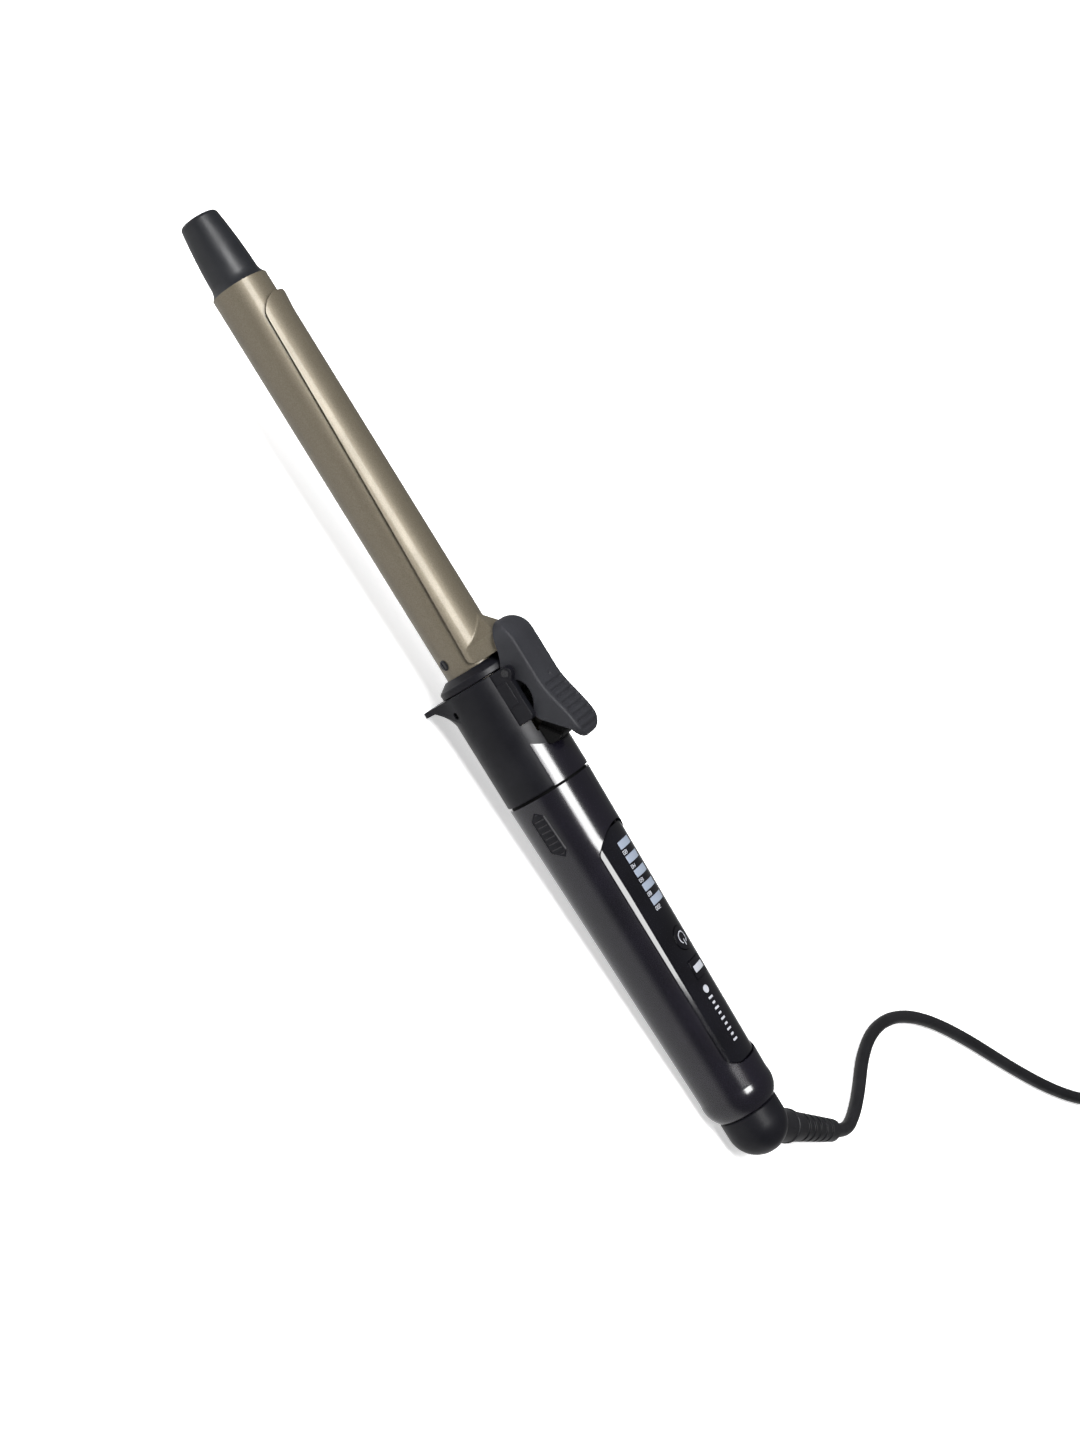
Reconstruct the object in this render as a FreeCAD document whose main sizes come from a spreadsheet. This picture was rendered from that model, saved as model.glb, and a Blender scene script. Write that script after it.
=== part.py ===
"""Curling wand with a spring clamp, thumb lever, control panel and swivelling mains cord.

Every piece of the wand is drawn in the wand's own frame: X runs along its axis from the cool tip to the
tail, Z points to the lever's side and Y to the side where the cord leaves. The finished pieces then lie at
rest on a table, on the stand lip and the handle's tail, with the tip raised.
The cord, its coil and its plug are drawn where they lie on the table.
"""

import FreeCAD, Part
import math
import os

import Sketcher
from FreeCAD import Placement, Rotation, Vector

os.makedirs("parts", exist_ok=True)
doc = FreeCAD.newDocument("curling_wand")

# ------------------------------------------------------------------ driving dimensions (mm, degrees)

SIZES = {
    # barrel and cool tip
    "barrel_radius": 11.0,
    "barrel_wall": 1.0,
    "barrel_foot": 226.0,
    "tip_length": 28.1,
    "tip_end_radius": 5.9,
    "tip_shoulder_radius": 9.4,
    "tip_spigot": 10.0,
    "screw_place": 181.4,
    "screw_angle": 115.0,
    # clamp
    "clamp_front": 37.0,
    "clamp_rear": 185.5,
    "clamp_gap": 0.3,
    "clamp_wall": 1.2,
    "clamp_front_half": 9.2,
    "clamp_rear_half": 11.4,
    "neck_start": 171.3,
    "neck_top_half": 6.2,
    "neck_foot_half": 10.4,
    "strip_half": 5.0,
    "strip_wall": 1.2,
    # lever and hinge
    "lever_front": 177.5,
    "lever_rear": 228.9,
    "lever_half": 9.0,
    "skirt": 1.8,
    "hinge_place": 194.8,
    "hinge_rise": 16.2,
    "pin_radius": 1.5,
    "running_gap": 0.05,
    "bracket_half": 12.6,
    "bracket_rear": 213.5,
    "bracket_top": 17.4,
    "channel_half": 9.5,
    "spring_place": 205.5,
    "spring_radius": 3.2,
    "spring_wire": 0.9,
    "bumper_place": 220.6,
    "bumper_radius": 4.6,
    "bumper_rise": 17.2,
    # collar and front housing
    "collar_front": 187.2,
    "collar_rear": 192.4,
    "collar_radius": 16.0,
    "housing_front": 192.6,
    "housing_rear": 238.0,
    "housing_radius": 16.65,
    "housing_wall": 2.25,
    "lip_drop": 24.2,
    "lip_half": 8.0,
    "lip_wall": 2.0,
    # handle
    "handle_front": 239.0,
    "handle_tail": 376.2,
    "handle_wall": 2.3,
    "panel_front": 261.2,
    "panel_rear": 358.4,
    "panel_wall": 1.5,
    "panel_groove": 0.35,
    "panel_depth": 0.15,
    "panel_crown": 18.0,
    "panel_rise": 15.25,
    "panel_fall": 1.34,
    "window_pitch": 5.8,
    "power_place": 309.5,
    "mode_place": 321.5,
    "board_top": 8.0,
    # tail
    "elbow_radius": 11.6,
    "elbow_place": 383.0,
    "shaft_radius": 6.0,
    "relief_turn": 61.0,
    "relief_dip": 4.6,
    "relief_start": 24.5,
    "relief_length": 38.0,
    "relief_radius": 5.9,
    # cord, coil and plug
    "cord_radius": 2.75,
    "coil_radius": 32.5,
    "coil_base": 0.9,
    "coil_columns": 5,
    "coil_layers": 2,
    "plug_width": 35.3,
    "plug_height": 13.7,
    "plug_depth": 17.0,
    "prong_radius": 2.0,
    "prong_length": 19.0,
    "prong_spacing": 18.6,
    # rest on the table
    "rest_tilt": 3.24,
    "rest_along": -197.08,
    "rest_rise": 35.16,
}

sheet = doc.addObject("Spreadsheet::Sheet", "Sizes")
for row, (alias, number) in enumerate(SIZES.items(), start=1):
    sheet.set(f"A{row}", alias)
    sheet.set(f"B{row}", str(number))
    sheet.setAlias(f"B{row}", alias)
doc.recompute()


class Size:
    """A number together with the spreadsheet expression that gives it."""

    def __init__(self, value, text):
        self.value = value
        self.text = text

    def join(self, sign, other, value):
        return Size(value, f"({self.text} {sign} {size(other).text})")

    def __add__(self, other):
        return self.join("+", other, self.value + size(other).value)

    def __sub__(self, other):
        return self.join("-", other, self.value - size(other).value)

    def __mul__(self, other):
        return self.join("*", other, self.value * size(other).value)

    def __truediv__(self, other):
        return self.join("/", other, self.value / size(other).value)

    def __neg__(self):
        return Size(-self.value, f"(0 - {self.text})")

    def __radd__(self, other):
        return size(other) + self

    def __rsub__(self, other):
        return size(other) - self

    def __rmul__(self, other):
        return size(other) * self


def size(thing):
    """A Size from a Size, a plain number or the alias of a spreadsheet cell."""
    if isinstance(thing, Size):
        return thing
    if isinstance(thing, str):
        return Size(float(sheet.get(thing)), f"Sizes.{thing}")
    return Size(float(thing), str(thing))


# ------------------------------------------------------------------ drawing helpers

ALONG_X = Rotation(Vector(0, 1, 0), 90)
ALONG_Y = Rotation(Vector(1, 0, 0), -90)
UPRIGHT = Rotation()

nodes = {}


def bind(thing, prop, value):
    """Give a property its number and the expression that keeps it in step with the sheet."""
    value = size(value)
    setattr(thing, prop, value.value)
    if "Sizes." in value.text:
        thing.setExpression(prop, value.text)


def put(thing, place, turn=UPRIGHT):
    """Place a shape at a point whose coordinates follow the sheet."""
    place = [size(part) for part in place]
    thing.Placement = Placement(Vector(*[part.value for part in place]), turn)
    for letter, part in zip("xyz", place):
        if "Sizes." in part.text:
            thing.setExpression(f"Placement.Base.{letter}", part.text)
    return thing


def cylinder(radius, length, place=(0, 0, 0), turn=ALONG_X):
    thing = doc.addObject("Part::Cylinder", "Cylinder")
    bind(thing, "Radius", radius)
    bind(thing, "Height", length)
    return put(thing, place, turn)


def cone(radius, end_radius, length, place=(0, 0, 0), turn=ALONG_X):
    thing = doc.addObject("Part::Cone", "Cone")
    bind(thing, "Radius1", radius)
    bind(thing, "Radius2", end_radius)
    bind(thing, "Height", length)
    return put(thing, place, turn)


def ball(radius, place):
    thing = doc.addObject("Part::Sphere", "Ball")
    bind(thing, "Radius", radius)
    return put(thing, place)


def block(low, high):
    """A box from its lowest corner to its highest corner."""
    thing = doc.addObject("Part::Box", "Block")
    for prop, start, end in zip(("Length", "Width", "Height"), low, high):
        bind(thing, prop, size(end) - start)
    return put(thing, low)


def ring(radius, bore, length, start):
    """A tube along X."""
    return cut(cylinder(radius, length, (start, 0, 0)), cylinder(bore, length, (start, 0, 0)))


def fuse(*shapes):
    thing = doc.addObject("Part::MultiFuse", "Union")
    thing.Shapes = list(shapes)
    return thing


def cut(base, *tools):
    thing = doc.addObject("Part::Cut", "Cut")
    thing.Base = base
    thing.Tool = tools[0] if len(tools) == 1 else fuse(*tools)
    return thing


def common(*shapes):
    thing = doc.addObject("Part::MultiCommon", "Overlap")
    thing.Shapes = list(shapes)
    return thing


def group(*shapes):
    thing = doc.addObject("Part::Compound", "Group")
    thing.Links = list(shapes)
    return thing


def draw_outline(sketch, corners):
    """Draw a closed outline whose corners follow the sheet.

    A corner is (across, up), reached by a straight line, or (across, up, radius), reached by an arc
    that turns left where the radius is positive and right where it is negative.
    """
    ends = []
    for index, corner in enumerate(corners):
        before = corners[index - 1]
        start = Vector(size(before[0]).value, size(before[1]).value, 0)
        end = Vector(size(corner[0]).value, size(corner[1]).value, 0)
        if len(corner) == 2:
            edge = sketch.addGeometry(Part.LineSegment(start, end), False)
            ends.append((edge, 1, 2))
            continue
        radius = size(corner[2])
        reach = (end - start).Length / 2
        side = math.copysign(math.sqrt(radius.value**2 - reach**2), radius.value)
        across = (end - start).normalize()
        centre = (start + end) / 2 + Vector(-across.y, across.x, 0) * side
        first, last = (start, end) if radius.value > 0 else (end, start)
        circle = Part.Circle(centre, Vector(0, 0, 1), abs(radius.value))
        edge = sketch.addGeometry(
            Part.ArcOfCircle(circle, circle.parameter(first), circle.parameter(last)), False
        )
        ends.append((edge, 1, 2) if radius.value > 0 else (edge, 2, 1))
        length = radius if radius.value > 0 else -radius
        held = sketch.addConstraint(Sketcher.Constraint("Radius", edge, length.value))
        if "Sizes." in length.text:
            sketch.setExpression(f"Constraints[{held}]", length.text)
    for index, (edge, _, end) in enumerate(ends):
        following = ends[(index + 1) % len(ends)]
        sketch.addConstraint(Sketcher.Constraint("Coincident", edge, end, following[0], following[1]))
        for kind, axis, place in zip(("DistanceX", "DistanceY"), (-2, -1), corners[index]):
            place = size(place)
            if abs(place.value) < 1e-9:
                sketch.addConstraint(Sketcher.Constraint("PointOnObject", edge, end, axis))
                continue
            held = sketch.addConstraint(Sketcher.Constraint(kind, -1, 1, edge, end, place.value))
            if "Sizes." in place.text:
                sketch.setExpression(f"Constraints[{held}]", place.text)


def sketched(name, plane, corners):
    """A body with one closed outline on one of its origin planes."""
    body = doc.addObject("PartDesign::Body", name)
    sketch = body.newObject("Sketcher::SketchObject", name + "_outline")
    face = next(part for part in body.Origin.OriginFeatures if part.Role == plane)
    sketch.AttachmentSupport = [(face, "")]
    sketch.MapMode = "FlatFace"
    draw_outline(sketch, corners)
    doc.recompute()
    return body, sketch


def turned(name, corners):
    """A body of revolution about X from an outline of (along the axis, radius)."""
    body, sketch = sketched(name, "XZ_Plane", corners)
    turn = body.newObject("PartDesign::Revolution", name + "_turn")
    turn.Profile = sketch
    turn.ReferenceAxis = (sketch, ["H_Axis"])
    turn.Angle = 360
    body.Tip = turn
    return body


def padded(name, plane, corners, length, symmetric=True):
    """A body padded from an outline: across Y from the XZ plane, or along Z from the XY plane."""
    body, sketch = sketched(name, plane, corners)
    pad = body.newObject("PartDesign::Pad", name + "_pad")
    pad.Profile = sketch
    if symmetric:
        pad.SideType = "Symmetric"
    bind(pad, "Length", length)
    body.Tip = pad
    return body


def node(name, thing):
    """Name a finished sub-part. The name is its label and its file."""
    thing.Label = name
    nodes[name] = thing
    return thing


# ------------------------------------------------------------------ cool tip, barrel and heater

barrel_radius = size("barrel_radius")
barrel_bore = barrel_radius - "barrel_wall"
tip_length = size("tip_length")
spigot_end = tip_length + "tip_spigot"

node("cool_tip", turned("CoolTip", [
    (0, 0),
    (spigot_end, 0),
    (spigot_end, barrel_bore - 0.05),
    (tip_length, barrel_bore - 0.05),
    (tip_length, barrel_radius - 0.1),
    (tip_length - 3.5, "tip_shoulder_radius", -6),
    (1.6, 7.5, 220),
    (0, "tip_end_radius", 1.65),
]))

screw_place = size("screw_place")
screw_turns = [Rotation(Vector(1, 0, 0), side * SIZES["screw_angle"]) for side in (1, -1)]
screw_holes = [cylinder(1.3, barrel_radius + 2, (screw_place, 0, 0), turn) for turn in screw_turns]
barrel_length = size("barrel_foot") - tip_length
node("barrel_tube", cut(ring(barrel_radius, barrel_bore, barrel_length, tip_length), *screw_holes))


def barrel_screw(turn):
    """A short screw along a radius of the barrel, its head just proud of the surface."""
    shank = cylinder(1.2, 4.5, (0, 0, barrel_radius - 4.2), UPRIGHT)
    head = cone(2.1, 1.6, 0.5, (0, 0, barrel_radius + 0.05), UPRIGHT)
    slot = block((-2.2, -0.25, barrel_radius + 0.3), (2.2, 0.25, barrel_radius + 0.8))
    return put(cut(fuse(shank, head), slot), (screw_place, 0, 0), turn)


node("barrel_screws", group(*[barrel_screw(turn) for turn in screw_turns]))

heater_start, heater_length, heater_half = 45.0, 105.0, 1.5
node("heater_blocks", cut(
    cylinder(barrel_bore - 0.05, heater_length, (heater_start, 0, 0)),
    block((heater_start, -10, -heater_half), (heater_start + heater_length, 10, heater_half)),
))
node("heater_element", group(block(
    (heater_start + 4, -7.5, -heater_half), (heater_start + heater_length - 4, 7.5, heater_half),
)))
node("thermistor", group(cylinder(1.3, 6, (heater_start + heater_length, 0, 5))))
node("barrel_insulator", ring(
    size("housing_radius") - "housing_wall" - 0.05, barrel_radius + 0.05, 6, size("barrel_foot") - 6,
))
node("lead_wires", group(*[
    cylinder(0.8, 262 - heater_start - heater_length, (heater_start + heater_length, side, 0))
    for side in (-6, -2.5, 2.5, 6)
]))

# ------------------------------------------------------------------ clamp plate

clamp_inner = barrel_radius + "clamp_gap"
clamp_outer = clamp_inner + "clamp_wall"
clamp_front = size("clamp_front")
clamp_rear = size("clamp_rear")
front_half = size("clamp_front_half")
rear_half = size("clamp_rear_half")
lip_rise = 1.2
lip_run = 5.0

clamp_plan = padded("ClampPlan", "XY_Plane", [
    (clamp_front, -(front_half - 6)),
    (clamp_front + 6, -front_half, 7.4),
    (clamp_rear - 5, -rear_half),
    (clamp_rear, -(rear_half - 4.2), 5.4),
    (clamp_rear, rear_half - 4.2),
    (clamp_rear - 5, rear_half, 5.4),
    (clamp_front + 6, front_half),
    (clamp_front, front_half - 6, 7.4),
], 30, symmetric=False)
clamp_shell = turned("ClampShell", [
    (clamp_front - 1, clamp_inner + lip_rise),
    (clamp_front + lip_run, clamp_inner),
    (clamp_rear + 1, clamp_inner),
    (clamp_rear + 1, clamp_outer),
    (clamp_front + lip_run, clamp_outer),
    (clamp_front - 1, clamp_outer + lip_rise),
])
spoon = common(clamp_shell, clamp_plan)

neck_start = size("neck_start")
neck_top = size("neck_top_half")
neck_foot = size("neck_foot_half")
lever_front = size("lever_front")
strip_rise = size(19.0)
neck_rear = clamp_rear - 1.5
neck_slope = padded("NeckSlope", "XZ_Plane", [
    (neck_start, 5),
    (neck_rear, 5),
    (neck_rear, strip_rise - 1.6),
    (lever_front + 2.6, strip_rise - 0.6),
    (neck_start, clamp_outer - 0.1),
], neck_foot * 2)
neck_plan = padded("NeckPlan", "XY_Plane", [
    (neck_start, -1.2),
    (neck_start + 9.4, -neck_foot),
    (neck_rear, -neck_foot),
    (neck_rear, neck_foot),
    (neck_start + 9.4, neck_foot),
    (neck_start, 1.2),
], 30, symmetric=False)
neck_front = padded("NeckFront", "YZ_Plane", [
    (-neck_foot, 6.6),
    (neck_foot, 6.6),
    (neck_top, strip_rise),
    (-neck_top, strip_rise),
], size("housing_rear") * 2)
neck = cut(
    common(neck_slope, neck_plan, neck_front),
    cylinder(clamp_inner, clamp_rear - neck_start + 2, (neck_start - 1, 0, 0)),
)
strip_half = size("strip_half")
strip = block(
    (lever_front + 2, -strip_half, strip_rise),
    (size("spring_place") + 3, strip_half, strip_rise + "strip_wall"),
)
riser = block(
    (lever_front + 2, -strip_half, strip_rise - 3),
    (clamp_rear - 1.5, strip_half, strip_rise + 0.2),
)
node("clamp_plate", fuse(spoon, neck, riser, strip))

# ------------------------------------------------------------------ lever, hinge and spring

lever_rear = size("lever_rear")
lever_half = size("lever_half")
hinge_place = size("hinge_place")
hinge_rise = size("hinge_rise")
plate_under = strip_rise + "strip_wall"
lever_inside = lever_half - "skirt"

lever_side = padded("LeverSide", "XZ_Plane", [
    (lever_front, 18.8),
    (187.0, 16.4),
    (190.0, 15.2, 5),
    (hinge_place + 2.6, 13.4),
    (198.6, 17.0),
    (210.2, 17.2, -6.9),
    (213.0, 15.9),
    (215.0, 16.4, 1.9),
    (223.6, 25.4),
    (lever_rear - 0.5, 26.0),
    (lever_rear - 2.2, 28.6, 2.4),
    (216.0, 27.9),
    (203.0, 25.2, -60),
    (187.5, 25.0),
    (lever_front + 0.2, 20.0, 9.5),
], lever_half * 2)
end_round = 6.5
lever_plan = padded("LeverPlan", "XY_Plane", [
    (lever_front, -(lever_half - end_round)),
    (lever_front + end_round, -lever_half, end_round),
    (lever_rear - end_round, -lever_half),
    (lever_rear, -(lever_half - end_round), end_round),
    (lever_rear, lever_half - end_round),
    (lever_rear - end_round, lever_half, end_round),
    (lever_front + end_round, lever_half),
    (lever_front, lever_half - end_round, end_round),
], 40, symmetric=False)
lever_channel = padded("LeverChannel", "XZ_Plane", [
    (lever_front + 2, 10),
    (225.2, 10),
    (225.2, 26.1),
    (217.0, 25.4),
    (205.5, 22.8),
    (lever_front + 6, 22.8),
    (lever_front + 2, 20.3),
], lever_inside * 2)
rib_pitch, rib_start = 2.8, 206.2
lever_grooves = [
    cylinder(0.55, lever_half * 2, (rib_start + rib_pitch * i, -lever_half, rise), ALONG_Y)
    for i, rise in enumerate([25.62, 26.05, 26.55, 27.15, 27.85, 28.35, 28.7, 28.95])
]
hinge_hole = cylinder(
    size("pin_radius") + 0.02, lever_half * 2 + 2, (hinge_place, -(lever_half + 1), hinge_rise), ALONG_Y
)
lever_bosses = [
    block((lever_front + 9, -2.6, plate_under), (lever_front + 13, 2.6, 22.9)),
    block((lever_front + 22, -2.6, plate_under), (lever_front + 26, 2.6, 23.0)),
]
lever_shell = cut(common(lever_side, lever_plan), lever_channel, hinge_hole, *lever_grooves)
node("clamp_lever", fuse(lever_shell, *lever_bosses))
node("clamp_rivets", group(*[
    cone(1.6, 1.9, 0.6, (lever_front + along, 0, strip_rise - 0.6), UPRIGHT) for along in (11, 24)
]))

pin_radius = size("pin_radius")
bracket_half = size("bracket_half")
bracket_top = size("bracket_top")
bracket_rear = size("bracket_rear")
housing_front = size("housing_front")
bracket_gap = 0.15
pin_hole = cylinder(pin_radius, bracket_half * 2 + 2, (hinge_place, -(bracket_half + 1), hinge_rise), ALONG_Y)
bracket_solid = padded("BracketSide", "XZ_Plane", [
    (housing_front + bracket_gap, 5.8),
    (bracket_rear, 5.8),
    (bracket_rear, bracket_top - 1.4),
    (bracket_rear - 1.6, bracket_top - 0.4, 1.9),
    (hinge_place + 3.2, bracket_top - 0.4),
    (hinge_place, hinge_rise + 2.6, 4.4),
    (housing_front + bracket_gap, bracket_top, 3.6),
], bracket_half * 2)
side_flats = [
    block(
        (197.5, low, 6.2),
        (206.5, high, 15.0),
    )
    for low, high in ((-(bracket_half + 0.3), -(bracket_half - 0.5)), (bracket_half - 0.5, bracket_half + 0.3))
]
bracket_channel = block(
    (housing_front - 1, -size("channel_half"), barrel_radius + 1.3),
    (bracket_rear + 1, size("channel_half"), 40),
)
node("hinge_bracket", cut(
    fuse(bracket_solid, *side_flats),
    bracket_channel,
    cylinder(barrel_radius + 0.3, 40, (housing_front - 5, 0, 0)),
    pin_hole,
))
node("hinge_pin", group(
    cylinder(pin_radius - 0.03, bracket_half * 2, (hinge_place, -bracket_half, hinge_rise), ALONG_Y)
))

spring_radius = size("spring_radius")
spring_wire = size("spring_wire")
spring_foot = barrel_radius + 1.3
spring_turns = 4


def clamp_spring():
    """A compression spring that stands on the bracket's floor and pushes the clamp's strip up."""
    foot = spring_foot.value + spring_wire.value / 2
    rise = strip_rise.value - spring_wire.value / 2 - foot
    coil = Part.makeHelix(rise / spring_turns, rise, spring_radius.value)
    section = Part.makeCircle(
        spring_wire.value / 2, Vector(spring_radius.value, 0, 0), Vector(0, 1, 0)
    )
    wire = Part.Wire(coil).makePipeShell([Part.Wire([section])], True, True)
    wire.translate(Vector(size("spring_place").value, 0, foot))
    return wire


spring = doc.addObject("Part::Feature", "ClampSpring")
spring.Shape = clamp_spring()
node("clamp_spring", spring)

bumper_place = size("bumper_place")
bumper_radius = size("bumper_radius")
housing_radius = size("housing_radius")
bumper_half, bumper_wing = 6.4, 8.9
seat_floor = barrel_radius + 3.45


def bumper_roll(radius, half):
    """A roller across the wand, without the part that would sink into the housing."""
    roll = cylinder(radius, half * 2, (bumper_place, -half, "bumper_rise"), ALONG_Y)
    return common(roll, block((bumper_place - 10, -half, seat_floor), (bumper_place + 10, half, 40)))


wing_plan = padded("BumperWings", "XZ_Plane", [
    (bumper_place - 3.6, seat_floor),
    (bumper_place + 5.4, seat_floor),
    (bumper_place + 5.4, seat_floor + 7.55),
], 20)
node("lever_bumper", fuse(
    bumper_roll(bumper_radius, bumper_half),
    common(bumper_roll(bumper_radius - 0.2, bumper_wing), wing_plan),
))

# ------------------------------------------------------------------ collar and front housing

collar_front = size("collar_front")
collar_rear = size("collar_rear")
collar_radius = size("collar_radius")
node("barrel_collar", turned("BarrelCollar", [
    (collar_front, barrel_radius + 0.05),
    (collar_rear, barrel_radius + 0.05),
    (collar_rear, collar_radius - 0.3),
    (collar_rear - 0.4, collar_radius),
    (collar_front + 3.2, collar_radius),
    (collar_front + 2.5, collar_radius - 0.3, 1.0),
    (collar_front, barrel_radius + 1.2),
]))

housing_rear = size("housing_rear")
housing_bore = housing_radius - "housing_wall"
housing_shell = turned("HousingShell", [
    (housing_front, barrel_radius + 0.05),
    (housing_front + 1.8, barrel_radius + 0.05),
    (housing_front + 1.8, housing_bore),
    (housing_rear, housing_bore),
    (housing_rear, housing_radius - 0.4),
    (housing_rear - 0.4, housing_radius),
    (housing_front + 0.3, housing_radius),
    (housing_front, housing_radius - 0.3),
])
lip_drop = size("lip_drop")
lip_flare = turned("LipFlare", [
    (housing_front, housing_bore + 0.1),
    (housing_front + 14, housing_bore + 0.1),
    (housing_front + 14, housing_radius - 0.2),
    (housing_front + "lip_wall" + 0.2, lip_drop - 3.0, -13.5),
    (housing_front + "lip_wall", lip_drop + 0.9),
    (housing_front, lip_drop + 0.9),
])
lip_half = size("lip_half")
lip_front = padded("LipFront", "YZ_Plane", [
    (-14.99, -7.12),
    (-lip_half - 0.6, -(lip_drop - 3.5)),
    (-lip_half + 1.2, -(lip_drop + 1), 5),
    (lip_half - 1.2, -(lip_drop + 1)),
    (lip_half + 0.6, -(lip_drop - 3.5), 5),
    (14.99, -7.12),
], size("housing_rear") * 2)
table_top = doc.addObject("Part::Box", "TableTop")
for prop, number in zip(("Length", "Width", "Height"), (800, 200, 60)):
    bind(table_top, prop, number)
lip = cut(common(lip_flare, lip_front), table_top)
saddle = block(
    (housing_front, -(bracket_half + 0.35), 5.7),
    (bracket_rear + 0.2, bracket_half + 0.35, 40),
)
lever_slot = block((bracket_rear, -size("channel_half"), barrel_radius + 0.6), (218.5, size("channel_half"), 40))
bumper_seat = block(
    (bumper_place - 4.9, -(bumper_wing + 0.05), seat_floor),
    (bumper_place + 4.9, bumper_wing + 0.05, 40),
)


def inlay_layer(name, over):
    """The top layer of the housing behind the lever, between two radii."""
    return turned(name, [
        (216, housing_radius - 0.9),
        (housing_rear, housing_radius - 0.9),
        (housing_rear, housing_radius + over),
        (216, housing_radius + over),
    ])


def inlay_plan(name):
    """The strip's plan: its front edge curves round the bumper and it runs back to the seam."""
    half = 13.2
    return padded(name, "XY_Plane", [
        (220.8, -half, -18.8),
        (housing_rear, -half),
        (housing_rear, half),
        (220.8, half),
    ], 30, symmetric=False)


screw_seat_turns = [Rotation(Vector(1, 0, 0), side * 122.7) for side in (1, -1)]
seats = [cylinder(1.35, 8, (199.0, 0, 0), turn) for turn in screw_seat_turns]
for seat, turn in zip(seats, screw_seat_turns):
    put(seat, (199.0, *(turn.multVec(Vector(0, 0, 14.9)))[1:]), turn)
housing_cuts = [saddle, lever_slot, bumper_seat, *seats]
housing_cuts.append(common(inlay_layer("InlayPocketLayer", 2), inlay_plan("InlayPocketPlan")))
node("front_housing", cut(fuse(housing_shell, lip), *housing_cuts))
node("housing_screws", group(*[
    put(cylinder(1.3, 1.1, (0, 0, 0), UPRIGHT), (199.0, *(turn.multVec(Vector(0, 0, 14.9)))[1:]), turn)
    for turn in screw_seat_turns
]))
node("housing_inlay", common(inlay_layer("InlayLayer", 0.1), inlay_plan("InlayPlan")))

handle_front = size("handle_front")
node("seam_ring", ring(housing_radius - 1.1, housing_bore, handle_front - housing_rear, housing_rear))

# ------------------------------------------------------------------ handle and control panel

handle_tail = size("handle_tail")
HANDLE_LINE = ((286.0, 15.6), (320.0, 15.0), (367.0, 14.1))


def handle_corners(depth):
    """The handle's outer line from front to tail, a given depth under its surface."""
    corners = [(handle_front, housing_radius - 0.1 - depth)]
    corners += [(along, radius - depth) for along, radius in HANDLE_LINE]
    return corners


def handle_layer(name, upper, lower):
    """A layer of the handle's surface, from one depth to another."""
    top = handle_corners(upper)
    under = handle_corners(lower)
    return turned(name, list(reversed(top)) + under)


tail_bore = 8.3
handle_shell = turned("HandleShell", [
    (handle_front, housing_radius - 0.1 - "handle_wall"),
    *handle_corners(size("handle_wall"))[1:],
    (372.0, 11.7),
    (372.0, tail_bore),
    (handle_tail, tail_bore),
    (handle_tail, 11.5),
    (367.0, 14.1, 10.5),
    *list(reversed(handle_corners(0)))[1:],
])


def panel_outline(name, spare):
    """The panel's plan: a curved front edge, straight sides and rounded tail corners."""
    front = size("panel_front") - spare
    rear = size("panel_rear") + spare
    wide = 12.2 + spare
    narrow = 11.0 + spare
    return padded(name, "XY_Plane", [
        (front + 5.6, -(wide - 0.9), 14.2),
        (front + 8.0, -wide, 3),
        (rear - 5.5, -narrow),
        (rear, -(narrow - 5.5), 5.6),
        (rear, narrow - 5.5),
        (rear - 5.5, narrow, 5.6),
        (front + 8.0, wide),
        (front + 5.6, wide - 0.9, 3),
    ], 30, symmetric=False)


def handle_body(name, depth):
    """The solid inside a surface a given depth under the handle's."""
    return turned(name, [(367.0, 0), *reversed(handle_corners(depth)), (handle_front, 0)])


def panel_solid(name, over):
    """All that lies under the panel's gently crowned face, or under a face that far over it."""
    turn = Rotation(Vector(0, 1, 0), 90 + SIZES["panel_fall"])
    radius = size("panel_crown") + over
    crown = cylinder(radius, 140, ("panel_front", 0, size("panel_rise") - "panel_crown"), turn)
    start = crown.Placement.Base
    ahead = turn.multVec(Vector(0, 0, 20))
    put(crown, (start.x - ahead.x, 0, start.z - ahead.z), turn)
    return common(handle_body(name, size("panel_depth") - over), crown)


def panel_layer(name, over, wall):
    """A layer of the control panel from a face over its own down to a given depth."""
    return cut(panel_solid(name + "Top", over), panel_solid(name + "Floor", -size(wall)))


panel_wall = size("panel_wall")
board_window = block((264.0, -8.0, 5), (355.0, 8.0, 30))
pocket = cut(panel_outline("PocketPlan", size("panel_groove")), panel_solid("PocketFloor", -panel_wall))
node("handle_grip", cut(handle_shell, pocket, board_window))


def bar_window(index):
    middle = 269.2 + size("window_pitch") * index
    return (middle - 1.5, -4.6), (middle + 1.5, 4.4)


def window_blocks(bottom):
    return [block((*low, bottom), (*high, 30)) for low, high in map(bar_window, range(5))]


def key_stem(place, radius, bottom):
    return cylinder(radius, 30 - bottom, (place, 0, bottom), UPRIGHT)


def key_oblong(place, spare, bottom):
    return block((place - 3.6 - spare, -4.6 - spare, bottom), (place + 3.6 + spare, 4.6 + spare, 30))


power_place = size("power_place")
mode_place = size("mode_place")
power_radius = 4.6
key_gap = 0.25
node("control_panel", cut(
    common(panel_layer("Panel", 0, panel_wall), panel_outline("PanelPlan", 0)),
    *window_blocks(5),
    key_stem(power_place, power_radius + key_gap, 5),
    key_oblong(mode_place, key_gap, 5),
))
node("led_windows", common(panel_layer("Window", 0.05, panel_wall), group(*window_blocks(6))))
board_top = size("board_top")
switch_top = board_top + 2.4
key_travel = 0.6
key_depth = 1.2
stem_top = 13.4


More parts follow.
